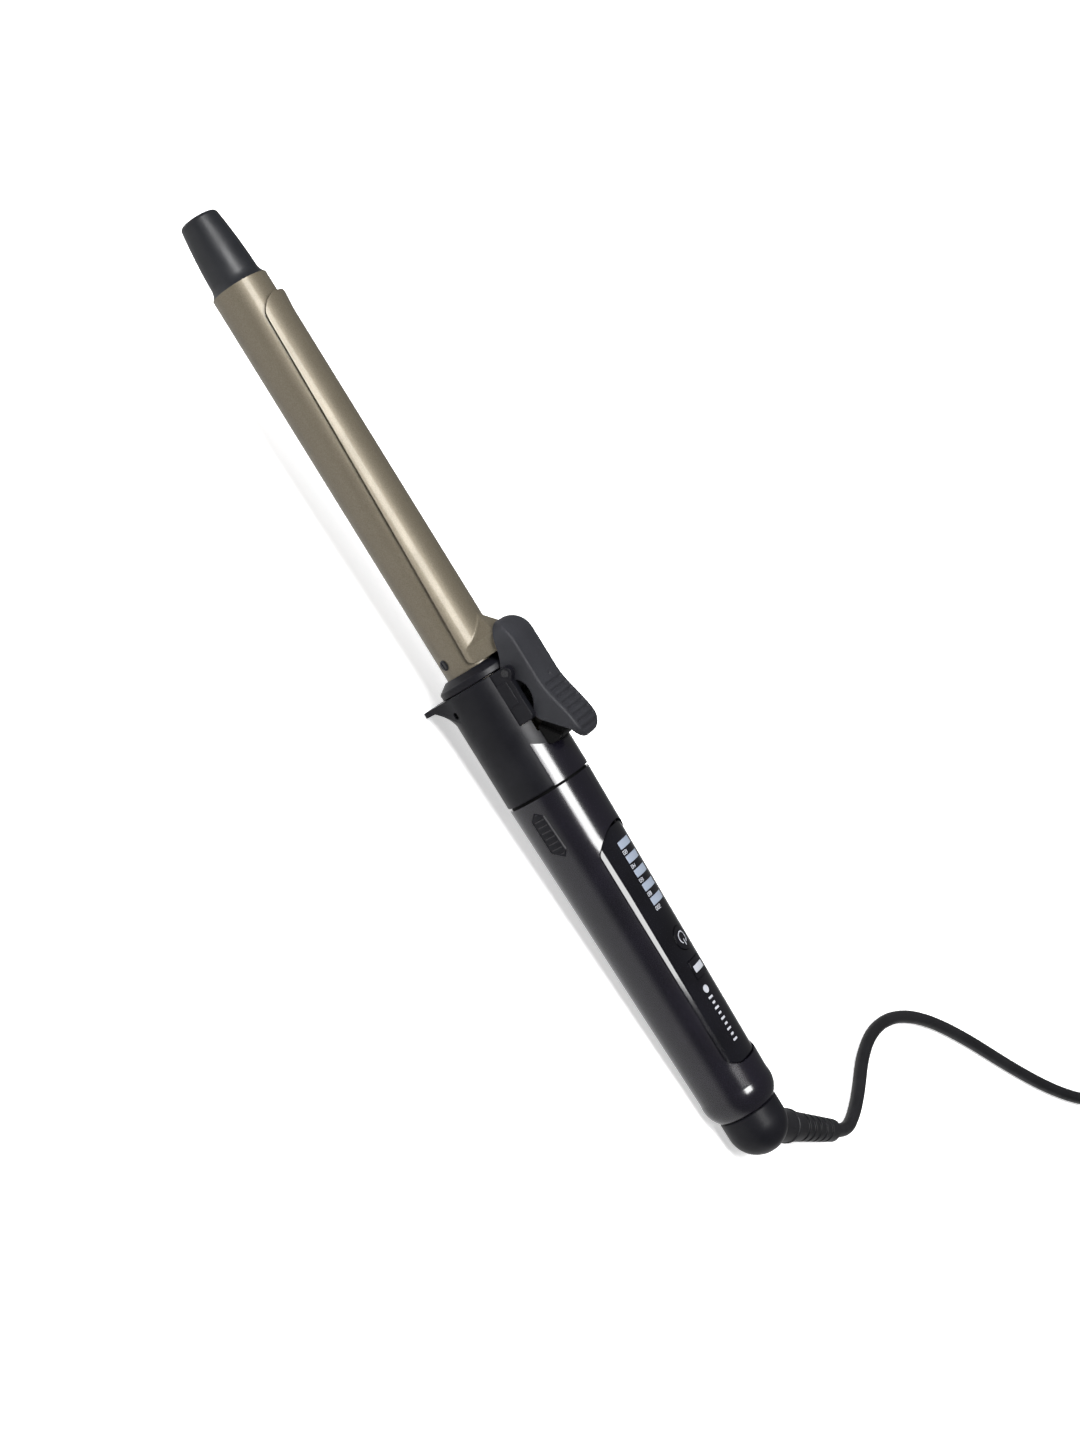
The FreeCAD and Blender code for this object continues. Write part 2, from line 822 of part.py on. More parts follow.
def key(name, cap, place):
    """A push button: a curved cap in the panel and a stem that stands over its switch."""
    stem_foot = switch_top + key_travel + 0.1
    stem = cylinder(1.6, stem_top - stem_foot, (place, 0, stem_foot), UPRIGHT)
    return fuse(common(panel_layer(name, 0.3, key_depth), cap), stem)


node("power_button", key("PowerKey", key_stem(power_place, power_radius, 6), power_place))
node("mode_button", key("ModeKey", key_oblong(mode_place, 0, 6), mode_place))
board_half = 7.2
node("control_board", group(block((263.0, -board_half, board_top - 1.6), (342.0, board_half, board_top))))
node("tact_switches", group(*[
    block((place - 3, -3, board_top), (place + 3, 3, switch_top)) for place in (power_place, mode_place)
]))
node("led_chips", group(*[
    block(
        (269.2 + size("window_pitch") * index - 0.8, -1.6, board_top),
        (269.2 + size("window_pitch") * index + 0.8, 1.6, board_top + 0.9),
    )
    for index in range(5)
]))
rib_places = ((266.0, 13.3), (303.0, 12.6), (338.0, 12.0))
node("board_carrier", group(*[
    cut(
        cylinder(radius, 2.2, (place, 0, 0)),
        block((place - 1, -20, board_top - 1.6), (place + 4, 20, 20)),
        cylinder(4.0, 4, (place - 1, 0, -3)),
    )
    for place, radius in rib_places
]))

mark_start, mark_end = 242.8, 261.9
mark_corners = [
    (mark_start, -1.6),
    (mark_start + 2.4, -4.7),
    (mark_end - 3.4, -4.7),
    (mark_end, 0.2),
    (mark_end - 2.4, 2.2),
    (mark_start + 2.4, 1.7),
]
mark_prism = padded("MarkOutline", "XZ_Plane", mark_corners, 60)
near_side = block((mark_start - 1, -30, -10), (mark_end + 1, 0, 10))
node("side_mark", common(handle_layer("MarkSkin", -0.25, 0), mark_prism, near_side))

# ------------------------------------------------------------------ swivel at the tail

elbow_radius = size("elbow_radius")
elbow_place = size("elbow_place")
shaft_radius = size("shaft_radius")
bushing_start = 366.0
node("end_bushing", cut(
    fuse(
        cylinder(tail_bore - 0.02, handle_tail - bushing_start, (bushing_start, 0, 0)),
        cylinder(11.0, 372 - bushing_start, (bushing_start, 0, 0)),
    ),
    cylinder(shaft_radius + "running_gap", 20, (bushing_start - 2, 0, 0)),
))
elbow_front = handle_tail + 0.4
node("swivel_elbow", turned("SwivelElbow", [
    (elbow_front, 0),
    (elbow_place + elbow_radius, 0),
    (elbow_place, elbow_radius, elbow_radius),
    (elbow_front + 0.4, elbow_radius),
    (elbow_front, elbow_radius - 0.4),
]))
shaft_start = 346.0
node("swivel_shaft", fuse(
    cylinder(shaft_radius, elbow_front - 358, (358, 0, 0)),
    cylinder(8.0, 3.4, (362, 0, 0)),
    cylinder(4.0, 358 - shaft_start, (shaft_start, 0, 0)),
))
ring_places = (348.0, 353.0)
ring_width = 2.6
node("contact_rings", group(*[ring(5.4, 4.02, ring_width, place) for place in ring_places]))
node("contact_brushes", fuse(
    block((347.0, -3.6, -11.0), (357.0, 3.6, -9.2)),
    *[block((place + 0.3, -1.2, -9.3), (place + ring_width - 0.3, 1.2, -5.6)) for place in ring_places],
))

relief_turn = Rotation(Vector(0, 0, 1), SIZES["relief_turn"]).multiply(
    Rotation(Vector(0, 1, 0), SIZES["relief_dip"])
).multiply(ALONG_X)
elbow_middle = (elbow_place, 0, 0)
relief_start = size("relief_start")
relief_length = size("relief_length")
relief_radius = size("relief_radius")
cord_radius = size("cord_radius")


def along_relief(distance):
    """A point on the strain relief's axis, in the wand's frame."""
    return Vector(elbow_place.value, 0, 0) + relief_turn.multVec(Vector(0, 0, distance))


def relief():
    """A socket on the elbow, a rim and a tapered sleeve with ring grooves round the cord."""
    rim = 1.6
    socket = cylinder(relief_radius + 0.4, relief_start - 8, (0, 0, 8), UPRIGHT)
    rim_disc = cylinder(relief_radius + 0.7, rim, (0, 0, relief_start - rim), UPRIGHT)
    sleeve = cone(relief_radius, cord_radius + 1.75, relief_length, (0, 0, relief_start), UPRIGHT)
    grooves = []
    for index in range(5):
        rise = SIZES["relief_start"] + 8 + 5.4 * index
        grooves.append(cut(
            cylinder(8, 1.8, (0, 0, rise), UPRIGHT),
            cylinder(cord_radius + 2.0 - 0.16 * index, 1.8, (0, 0, rise), UPRIGHT),
        ))
    return put(cut(fuse(socket, rim_disc, sleeve), *grooves), elbow_middle, relief_turn)


node("cord_relief", cut(
    relief(),
    ball(elbow_radius, elbow_middle),
    cylinder(elbow_radius, elbow_place - elbow_front, (elbow_front, 0, 0)),
))

# ------------------------------------------------------------------ rest on the table

rest = Placement(
    Vector(SIZES["rest_along"], 0, SIZES["rest_rise"]), Rotation(Vector(0, 1, 0), SIZES["rest_tilt"])
)
table_top.Placement = rest.inverse().multiply(Placement(Vector(-400, -100, -60), Rotation()))
for thing in nodes.values():
    thing.Placement = rest.multiply(thing.Placement)

# ------------------------------------------------------------------ cord, coil, tie and plug

cord_rise = SIZES["cord_radius"] + 0.02
relief_end = rest.multVec(along_relief(SIZES["relief_start"] + SIZES["relief_length"]))
coil_pitch = 2 * SIZES["cord_radius"] + 0.1
coil_width = coil_pitch * SIZES["coil_columns"]
coil_height = coil_pitch * SIZES["coil_layers"]
coil_middle = Vector(372.0, 290.0, SIZES["coil_base"])
coil_reach = SIZES["coil_radius"] + (coil_width - coil_pitch) / 2
coil_low = SIZES["coil_base"] + coil_pitch / 2
coil_high = coil_low + coil_pitch

# the cord's way over the table from the strain relief to the outermost turn of its coil
route = [
    relief_end,
    Vector(221.3, 66.6, 4.4),
    Vector(222.6, 80.6, cord_rise + 0.2),
    Vector(218.6, 98.2, cord_rise),
    Vector(211.0, 119.0, cord_rise),
    Vector(208.4, 141.5, cord_rise),
    Vector(213.6, 165.5, cord_rise),
    Vector(227.0, 188.5, cord_rise),
    Vector(248.0, 210.0, cord_rise),
    Vector(275.0, 232.0, cord_rise),
    Vector(299.5, 255.0, cord_rise),
    Vector(319.9, 280.4, cord_rise + 0.4),
    Vector(332.1, 307.8, coil_low),
]

def rounded_path(points):
    """Straight runs joined by tangent arcs, each as large as its two runs allow."""
    edges = []
    here = points[0]
    length = 0.0
    radii = []
    for before, corner, after in zip(points, points[1:], points[2:]):
        into = (corner - before).normalize()
        away = (after - corner).normalize()
        half = into.getAngle(away) / 2
        radius = 0.45 * min((corner - before).Length, (after - corner).Length) / math.tan(half)
        reach = radius * math.tan(half)
        start, end = corner - into * reach, corner + away * reach
        middle = corner + (away - into).normalize() * (radius / math.cos(half) - radius)
        edges += [Part.LineSegment(here, start).toShape(), Part.Arc(start, middle, end).toShape()]
        length += (start - here).Length + 2 * half * radius
        radii.append(round(radius, 1))
        here = end
    edges.append(Part.LineSegment(here, points[-1]).toShape())
    length += (points[-1] - here).Length
    return Part.Wire(edges), length, radii


def cord_along(name, points):
    """A round cord swept along a rounded path, with its volume compared with section times length."""
    path, length, radii = rounded_path(points)
    direction = (points[1] - points[0]).normalize()
    section = Part.Wire([Part.makeCircle(SIZES["cord_radius"], points[0], direction)])
    solid = path.makePipeShell([section], True, True)
    ratio = solid.Volume / (math.pi * SIZES["cord_radius"] ** 2 * length)
    print(name, "length", round(length, 1), "radii", radii, "volume ratio", round(ratio, 4))
    thing = doc.addObject("Part::Feature", name)
    thing.Shape = solid
    return node(name, thing)


cord_along("cord_tube", route)
print("relief end", relief_end, "coil middle", coil_middle, "turn", coil_pitch)


def coil_band(name, spare, low, high):
    """The closed outer shape of the wound cord, a flat ring, or the same ring grown by a margin."""
    outer = cylinder(size("coil_radius") + (coil_width / 2 + spare), high - low, (0, 0, low), UPRIGHT)
    inner = cylinder(size("coil_radius") - (coil_width / 2 + spare), high - low, (0, 0, low), UPRIGHT)
    thing = put(cut(outer, inner), coil_middle)
    thing.Label = name
    return thing


node("cord_coil", coil_band("CoilOutline", 0, 0, coil_height))
tie_wall = 0.85
tie_half = 6.0
tie_turn = Rotation(Vector(0, 0, 1), 28.0)
tie_block = block((10, -tie_half, -tie_wall), (60, tie_half, coil_height + tie_wall))
put(tie_block, coil_middle + tie_turn.multVec(Vector(10, -tie_half, -tie_wall)), tie_turn)
node("cord_tie", cut(
    common(coil_band("TieOutline", tie_wall, -tie_wall, coil_height + tie_wall), tie_block),
    coil_band("TieInside", 0.03, -0.03, coil_height + 0.03),
))

plug_rise = SIZES["plug_height"] / 2 + 0.02
tail_start = coil_middle + Vector(coil_reach, 0, coil_high - SIZES["coil_base"])
plug_end = Vector(tail_start.x + 5.0, tail_start.y - 46.0, plug_rise)
tail_route = [
    tail_start,
    Vector(tail_start.x, tail_start.y - 14.0, coil_high - 0.2),
    Vector(tail_start.x + 2.4, tail_start.y - 29.0, plug_rise + 0.6),
    plug_end,
]
cord_along("cord_tail", tail_route)

plug_turn = Rotation(Vector(0, 0, 1), -90 + 11.0)
plug_depth = size("plug_depth")
plug_half = size("plug_width") / 2
neck_length = 20.0
plug_face = plug_depth + neck_length
plug_plan = padded("PlugPlan", "XY_Plane", [
    (neck_length - 6, -5.0),
    (neck_length + 3, -11.5, -14),
    (plug_face - 8, -plug_half, 12),
    (plug_face, -plug_half),
    (plug_face, plug_half),
    (plug_face - 8, plug_half),
    (neck_length + 3, 11.5, 12),
    (neck_length - 6, 5.0, -14),
], "plug_height")
neck_cone = cone(cord_radius + 0.9, 5.0, neck_length, (0, 0, 0))
neck_cuts = [
    cut(cylinder(8, 1.4, (along, 0, 0)), cylinder(cord_radius + 0.55, 1.4, (along, 0, 0)))
    for along in (3.0, 6.4, 9.8)
]
node("plug_body", put(fuse(plug_plan, cut(neck_cone, *neck_cuts)), plug_end, plug_turn))
prong_radius = size("prong_radius")
prong_length = size("prong_length")


def prong(side):
    """A round prong with a domed end, standing on the plug's face."""
    wall = turned(f"Prong{'Left' if side < 0 else 'Right'}", [
        (plug_face, 0),
        (plug_face + prong_length, 0),
        (plug_face + prong_length - prong_radius, prong_radius, prong_radius),
        (plug_face, prong_radius),
    ])
    wall.Placement = Placement(Vector(0, side * SIZES["prong_spacing"] / 2, 0), Rotation())
    return wall


node("plug_pins", put(group(prong(-1), prong(1)), plug_end, plug_turn))
for side in (-1, 1):
    base = plug_end + plug_turn.multVec(Vector(plug_face.value, side * SIZES["prong_spacing"] / 2, 0))
    print("prong base", base, "outward", plug_turn.multVec(Vector(1, 0, 0)))
print("hinge", rest.multVec(Vector(hinge_place.value, 0, hinge_rise.value)))
print("swivel", rest.multVec(Vector(elbow_front.value, 0, 0)), "along", rest.Rotation.multVec(Vector(1, 0, 0)))
print("lip foot", rest.multVec(Vector(housing_front.value + 1, 0, -SIZES["lip_drop"])))

# ------------------------------------------------------------------ check and write

doc.recompute()
for thing in doc.Objects:
    if "Invalid" in thing.State or "Error" in thing.State:
        raise RuntimeError(f"{thing.Name} ({thing.Label}) failed: {thing.State}")
for name, thing in nodes.items():
    shape = thing.Shape
    if shape.isNull() or not shape.isValid() or not shape.Solids:
        raise RuntimeError(f"{name} has no valid solid")
for name, thing in nodes.items():
    thing.Shape.exportStep(f"parts/{name}.step")
print(len(nodes), "sub-parts")
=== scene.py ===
"""Looks of a curling wand that lies on a table: materials, the clamp, its lever, fine details and the cord.

Pieces of the wand are drawn in its own frame in millimetres, X along its axis from the cool tip to the tail
and Z to the lever's side, and then moved to where the wand rests.
"""

import math

import bmesh
import bpy
from mathutils import Matrix, Vector


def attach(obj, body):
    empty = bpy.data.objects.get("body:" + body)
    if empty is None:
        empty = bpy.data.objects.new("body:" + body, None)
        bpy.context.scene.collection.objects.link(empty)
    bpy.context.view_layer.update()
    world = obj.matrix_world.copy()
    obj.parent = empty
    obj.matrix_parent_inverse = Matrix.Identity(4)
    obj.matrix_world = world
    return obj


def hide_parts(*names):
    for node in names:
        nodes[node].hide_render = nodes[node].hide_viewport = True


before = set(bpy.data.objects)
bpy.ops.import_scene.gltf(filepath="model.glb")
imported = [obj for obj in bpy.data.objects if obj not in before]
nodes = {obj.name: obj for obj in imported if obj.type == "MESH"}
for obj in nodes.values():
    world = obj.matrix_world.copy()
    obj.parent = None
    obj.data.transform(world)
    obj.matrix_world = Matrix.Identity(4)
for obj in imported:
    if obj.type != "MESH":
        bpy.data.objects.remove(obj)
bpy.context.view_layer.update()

MM = 0.001
REST = (
    Matrix.Translation((-197.08 * MM, 0, 35.16 * MM))
    @ Matrix.Rotation(math.radians(3.24), 4, "Y")
    @ Matrix.Scale(MM, 4)
)


def wand(x, y, z):
    """A point of the wand's own frame, in millimetres, where it rests, in metres."""
    return REST @ Vector((x, y, z))


# ------------------------------------------------------------------ camera, floor and light

FRAME_HIGH = 1440
FOCAL_PIXELS = 2356.26
SENSOR_HIGH = 36.0
ROLL = math.radians(-56.27)
CAMERA_PLACE = Vector((-1.3, -736.1, 449.7)) * MM
CAMERA_TARGET = wand(216, 0, 11.5)


def aim_matrix(place, target, roll):
    """A camera's or a light's matrix, looking from a place to a target with its top turned by roll."""
    ahead = (target - place).normalized()
    right = ahead.cross(Vector((0, 0, 1))).normalized()
    up = right.cross(ahead)
    turned_right = math.cos(roll) * right - math.sin(roll) * up
    turned_up = math.sin(roll) * right + math.cos(roll) * up
    turn = Matrix((turned_right, turned_up, -ahead)).transposed().to_4x4()
    return Matrix.Translation(place) @ turn


def make_object(name, data):
    thing = bpy.data.objects.new(name, data)
    bpy.context.scene.collection.objects.link(thing)
    return thing


camera = make_object("camera", bpy.data.cameras.new("camera"))
camera.matrix_world = aim_matrix(CAMERA_PLACE, CAMERA_TARGET, ROLL)
camera.data.sensor_fit = "VERTICAL"
camera.data.sensor_height = SENSOR_HIGH
camera.data.lens = SENSOR_HIGH * FOCAL_PIXELS / FRAME_HIGH
camera.data.clip_start = 0.01
camera.data.clip_end = 50
bpy.context.scene.camera = camera


def area_light(name, place, target, wide, high, watts):
    """A rectangular light of so many metres, at a place and turned to a target."""
    data = bpy.data.lights.new(name, "AREA")
    data.shape = "RECTANGLE"
    data.size = wide
    data.size_y = high
    data.energy = watts
    light = make_object(name, data)
    light.matrix_world = aim_matrix(Vector(place), Vector(target), 0)
    return light


area_light("key_light", (-0.1, -0.66, 1.22), (-0.1, 0, 0), 1.2, 0.55, 36)
fill_light = area_light("fill_light", (0.4, 0.8, 3.5), (0.4, 0.79, 0), 6, 6, 80)
fill_light.visible_glossy = False
side_light = area_light("side_light", (-0.95, -0.2, 0.42), (0, 0, 0.02), 0.4, 0.4, 8)
side_light.visible_glossy = False

GLOW_FROM, GLOW_TO = -0.35, 0.0
GLOW_BELOW, GLOW_ABOVE = 0.75, 0.15


def map_range(tree, source, start, end, low, high):
    """A source between start and end, spread between two numbers."""
    step = tree.nodes.new("ShaderNodeMapRange")
    for socket, value in zip(("From Min", "From Max", "To Min", "To Max"), (start, end, low, high)):
        step.inputs[socket].default_value = value
    tree.links.new(source, step.inputs["Value"])
    return step.outputs["Result"]


world = bpy.data.worlds.new("studio")
bpy.context.scene.world = world
world.use_nodes = True
sky = world.node_tree.nodes["Background"]
sky.inputs["Color"].default_value = (1, 1, 1, 1)
height = world.node_tree.nodes.new("ShaderNodeSeparateXYZ")
direction = world.node_tree.nodes.new("ShaderNodeTexCoord").outputs["Generated"]
world.node_tree.links.new(direction, height.inputs[0])
glow = map_range(world.node_tree, height.outputs["Z"], GLOW_FROM, GLOW_TO, GLOW_BELOW, GLOW_ABOVE)
world.node_tree.links.new(glow, sky.inputs["Strength"])
bpy.context.scene.view_settings.view_transform = "Standard"

FLOOR_HALF, FLOOR_DROP, FLOOR_GLOW = 40, 0.0002, 0.55
corners = ((-1, -1), (1, -1), (1, 1), (-1, 1))
floor_mesh = bpy.data.meshes.new("floor")
floor_mesh.from_pydata([(x * FLOOR_HALF, y * FLOOR_HALF, -FLOOR_DROP) for x, y in corners], [], [(0, 1, 2, 3)])
floor = make_object("floor", floor_mesh)

# ------------------------------------------------------------------ materials


class Finish:
    """A procedural material: a principled shader with noise in its colour, roughness and bump."""

    def __init__(self, name, **settings):
        self.material = bpy.data.materials.new(name)
        self.material.use_nodes = True
        self.tree = self.material.node_tree
        self.shader = self.tree.nodes["Principled BSDF"]
        for socket, value in settings.items():
            self.shader.inputs[socket.replace("_", " ")].default_value = value
        self.place = self.tree.nodes.new("ShaderNodeTexCoord").outputs["Object"]

    def link(self, start, end):
        self.tree.links.new(start, end)

    def stretched(self, scale):
        """Object coordinates scaled by a different amount along each axis."""
        mapping = self.tree.nodes.new("ShaderNodeMapping")
        mapping.inputs["Scale"].default_value = scale
        self.link(self.place, mapping.inputs["Vector"])
        return mapping.outputs["Vector"]

    def noise(self, scale, detail, stretch=None):
        texture = self.tree.nodes.new("ShaderNodeTexNoise")
        texture.inputs["Scale"].default_value = scale
        texture.inputs["Detail"].default_value = detail
        self.link(self.stretched(stretch) if stretch else self.place, texture.inputs["Vector"])
        return texture.outputs["Fac"]

    def ramp(self, source, *stops):
        """A source turned into colour through (position, (r, g, b)) stops."""
        ramp = self.tree.nodes.new("ShaderNodeValToRGB")
        elements = ramp.color_ramp.elements
        while len(elements) < len(stops):
            elements.new(0.5)
        for element, (position, colour) in zip(elements, stops):
            element.position = position
            element.color = (*colour, 1)
        self.link(source, ramp.inputs["Fac"])
        return ramp.outputs["Color"]

    def colour(self, source, *stops):
        self.link(self.ramp(source, *stops), self.shader.inputs["Base Color"])
        return self

    def roughness(self, source, low, high):
        self.link(map_range(self.tree, source, 0.3, 0.7, low, high), self.shader.inputs["Roughness"])
        return self

    def bump(self, source, height):
        """Bumps of a height in millimetres."""
        step = self.tree.nodes.new("ShaderNodeBump")
        step.inputs["Distance"].default_value = height * MM
        step.inputs["Strength"].default_value = 1.0
        self.link(source, step.inputs["Height"])
        self.link(step.outputs["Normal"], self.shader.inputs["Normal"])
        return self


def moulded(name, dark, light, low, high, grain=900, height=0.02, **settings):
    """Moulded plastic: slight mottling, uneven gloss and a fine grain."""
    finish = Finish(name, **settings)
    finish.colour(finish.noise(60, 4), (0.3, dark), (0.7, light))
    finish.roughness(finish.noise(140, 3), low, high)
    return finish.bump(finish.noise(grain, 3), height)


def metal(name, dark, light, low, high, grain=1500, height=0.006, stretch=None, **settings):
    """Bare or coated metal with fine flecks and streaks."""
    finish = Finish(name, **{"Metallic": 1.0, **settings})
    finish.colour(finish.noise(grain, 2, stretch), (0.35, dark), (0.65, light))
    finish.roughness(finish.noise(90, 3), low, high)
    return finish.bump(finish.noise(grain, 2, stretch), height)


floor_finish = Finish("floor_finish", Roughness=0.6)
floor_finish.colour(floor_finish.noise(3, 2), (0.3, (0.88, 0.88, 0.88)), (0.7, (0.92, 0.92, 0.92)))
floor_finish.shader.inputs["Emission Color"].default_value = (1, 1, 1, 1)
floor_finish.shader.inputs["Emission Strength"].default_value = FLOOR_GLOW
floor.data.materials.append(floor_finish.material)
floor.visible_glossy = False

champagne = metal(
    "champagne", (0.112, 0.096, 0.068), (0.140, 0.121, 0.089), 0.42, 0.48, grain=2600, height=0.0012,
    Metallic=0.55, Coat_Weight=0.22, Coat_Roughness=0.10,
)
soft_grey = moulded(
    "soft_grey", (0.0135, 0.0138, 0.0165), (0.0195, 0.020, 0.0235), 0.50, 0.62, grain=1600, height=0.03,
    Specular_IOR_Level=0.22,
)
tip_black = moulded(
    "tip_black", (0.0055, 0.0060, 0.0075), (0.0085, 0.0090, 0.0110), 0.38, 0.46, grain=1400, height=0.015,
    Specular_IOR_Level=0.40,
)
satin_black = moulded(
    "satin_black", (0.0035, 0.0035, 0.0050), (0.0060, 0.0060, 0.0080), 0.34, 0.42, grain=1200, height=0.008,
    Specular_IOR_Level=0.20,
)
gloss_black = moulded(
    "gloss_black", (0.0024, 0.0020, 0.0042), (0.0040, 0.0034, 0.0068), 0.17, 0.185, grain=300, height=0.0002,
    Specular_IOR_Level=0.80,
)
panel_black = moulded(
    "panel_black", (0.002, 0.002, 0.003), (0.004, 0.004, 0.006), 0.06, 0.10, grain=200, height=0.002,
    Specular_IOR_Level=0.50,
)
groove_black = moulded(
    "groove_black", (0.0005, 0.0005, 0.0005), (0.0015, 0.0015, 0.0015), 0.6, 0.8, Specular_IOR_Level=0.08,
)
rubber = moulded(
    "rubber", (0.0050, 0.0050, 0.0060), (0.0090, 0.0090, 0.0105), 0.42, 0.56, grain=1800, height=0.012,
    Specular_IOR_Level=0.30,
)
window_pale = moulded(
    "window_pale", (0.190, 0.220, 0.275), (0.212, 0.243, 0.300), 0.24, 0.27, grain=500, height=0.002,
)
print_pale = moulded("print_pale", (0.26, 0.27, 0.30), (0.36, 0.37, 0.40), 0.40, 0.55)
# The bumper's near-black rubber is partly its own colour and partly painted shade: it also stands in for the deep
# shade under the lever's tail.
bumper_black_and_painted_shade = moulded(
    "bumper_black_and_painted_shade", (0.0015, 0.0015, 0.0015), (0.003, 0.003, 0.003), 0.5, 0.65, Specular_IOR_Level=0.12,
)
tie_black = moulded("tie_black", (0.010, 0.010, 0.011), (0.020, 0.020, 0.022), 0.6, 0.75, grain=2600, height=0.05)
nickel = metal("nickel", (0.60, 0.58, 0.54), (0.70, 0.68, 0.63), 0.16, 0.26)
steel = metal("steel", (0.42, 0.42, 0.43), (0.56, 0.56, 0.57), 0.22, 0.34)
dark_steel = metal("dark_steel", (0.05, 0.05, 0.052), (0.09, 0.09, 0.094), 0.30, 0.42)
brass = metal("brass", (0.58, 0.42, 0.16), (0.70, 0.52, 0.22), 0.24, 0.36)
copper = metal("copper", (0.60, 0.28, 0.16), (0.74, 0.38, 0.22), 0.24, 0.36)
aluminium = metal("aluminium", (0.55, 0.55, 0.56), (0.68, 0.68, 0.69), 0.34, 0.46, stretch=(1, 8, 8))
ceramic = moulded("ceramic", (0.66, 0.64, 0.60), (0.78, 0.76, 0.71), 0.45, 0.6, grain=700, height=0.02)
silicone_red = moulded("silicone_red", (0.30, 0.03, 0.02), (0.40, 0.05, 0.03), 0.45, 0.6)
board_green = moulded("board_green", (0.01, 0.09, 0.04), (0.02, 0.14, 0.06), 0.30, 0.42)
carrier_grey = moulded("carrier_grey", (0.10, 0.10, 0.11), (0.15, 0.15, 0.16), 0.45, 0.6)

# The CAD nodes that are shown as they are. All the others are replaced by the pieces further down.
NODE_FINISHES = {
    "cool_tip": tip_black,
    "barrel_tube": champagne,
    "heater_blocks": aluminium,
    "heater_element": ceramic,
    "thermistor": ceramic,
    "barrel_insulator": ceramic,
    "lead_wires": silicone_red,
    "clamp_rivets": steel,
    "hinge_pin": dark_steel,
    "clamp_spring": dark_steel,
    "barrel_collar": satin_black,
    "housing_inlay": gloss_black,
    "seam_ring": groove_black,
    "handle_grip": gloss_black,
    "control_panel": panel_black,
    "control_board": board_green,
    "tact_switches": steel,
    "led_chips": window_pale,
    "board_carrier": carrier_grey,
    "end_bushing": carrier_grey,
    "swivel_elbow": satin_black,
    "swivel_shaft": carrier_grey,
    "contact_rings": brass,
    "contact_brushes": copper,
}
for name, finish in NODE_FINISHES.items():
    materials = nodes[name].data.materials
    materials.clear()
    materials.append(finish.material)

# ------------------------------------------------------------------ drawing helpers

SOFT_LIMIT, FLAT_LIMIT = 30, 0.3


def smooth_edges(mesh, limit=35):
    """Smooth shading that breaks at edges sharper than limit degrees."""
    mesh.polygons.foreach_set("use_smooth", [True] * len(mesh.polygons))
    mesh.set_sharp_from_angle(angle=math.radians(limit))


def add_bevel(piece, width, limit, segments):
    """Rounds the edges sharper than limit degrees, by a width in millimetres."""
    bevel = piece.modifiers.new("bevel", "BEVEL")
    bevel.width = width * MM
    bevel.segments = segments
    bevel.limit_method = "ANGLE"
    bevel.angle_limit = math.radians(limit)
    bevel.use_clamp_overlap = True
    bevel.harden_normals = False


def finish_piece(name, mesh, finish, body, stands_for=()):
    """A piece from a mesh in row coordinates: its finish, its body and the CAD nodes that it stands for."""
    mesh.materials.clear()
    mesh.materials.append(finish.material)
    piece = make_object(name, mesh)
    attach(piece, body)
    if stands_for:
        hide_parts(*stands_for)
    return piece


def wand_mesh(name, points, faces, limit=35):
    """A mesh from points of the wand's own frame, in millimetres, with its normals turned outwards."""
    mesh = bpy.data.meshes.new(name)
    mesh.from_pydata(points, [], faces)
    work = bmesh.new()
    work.from_mesh(mesh)
    bmesh.ops.remove_doubles(work, verts=work.verts, dist=1e-4)
    bmesh.ops.dissolve_degenerate(work, edges=work.edges, dist=1e-5)
    bmesh.ops.recalc_face_normals(work, faces=work.faces)
    work.to_mesh(mesh)
    work.free()
    mesh.transform(REST)
    smooth_edges(mesh, limit)
    return mesh


def softened(name, body, slot, finish, width):
    """A CAD node's shape with its flat faces joined and its edges rounded."""
    mesh = nodes[name].data.copy()
    mesh.name = name + "_soft"
    work = bmesh.new()
    work.from_mesh(mesh)
    bmesh.ops.remove_doubles(work, verts=work.verts, dist=1e-6)
    bmesh.ops.dissolve_limit(
        work, angle_limit=math.radians(FLAT_LIMIT), verts=work.verts, edges=work.edges, delimit={"NORMAL"}
    )
    bmesh.ops.recalc_face_normals(work, faces=work.faces)
    work.to_mesh(mesh)
    work.free()
    if mesh.has_custom_normals:
        mesh.attributes.remove(mesh.attributes["custom_normal"])
    smooth_edges(mesh, SOFT_LIMIT)
    piece = finish_piece(name + "_soft", mesh, finish, body, [name])
    add_bevel(piece, width, SOFT_LIMIT, 2)
    return piece


def between(value, points):
    """Straight-line interpolation through (place, value) points."""
    if value <= points[0][0]:
        return points[0][1]
    for (before, low), (after, high) in zip(points, points[1:]):
        if value <= after:
            return low + (high - low) * (value - before) / (after - before)
    return points[-1][1]


def ease(value, start, end):
    """0 before start, 1 after end, and a smooth step between them."""
    part = min(1, max(0, (value - start) / (end - start)))
    return part * part * (3 - 2 * part)


def steps(start, end, step):
    """Evenly spaced places from start to end, about a step apart."""
    count = max(1, round((end - start) / step))
    return [start + (end - start) * index / count for index in range(count + 1)]


def soft_max(one, other, blend):
    """The larger of two heights, rounded where they meet."""
    near = max(0, blend - abs(one - other)) / blend
    return max(one, other) + near * near * blend / 4


def soft_min(one, other, blend):
    """The smaller of two heights, rounded where they meet."""
    return -soft_max(-one, -other, blend)


def loft(sections):
    """Points and faces of a tube with closed ends, through closed sections of equally many points."""
    count = len(sections[0])
    points = [point for section in sections for point in section]
    faces = []
    for row in range(len(sections) - 1):
        for index in range(count):
            following = (index + 1) % count
            here, ahead = row * count, (row + 1) * count
            faces.append((here + index, here + following, ahead + following, ahead + index))
    faces.append(tuple(range(count)))
    last = (len(sections) - 1) * count
    faces.append(tuple(last + index for index in reversed(range(count))))
    return points, faces


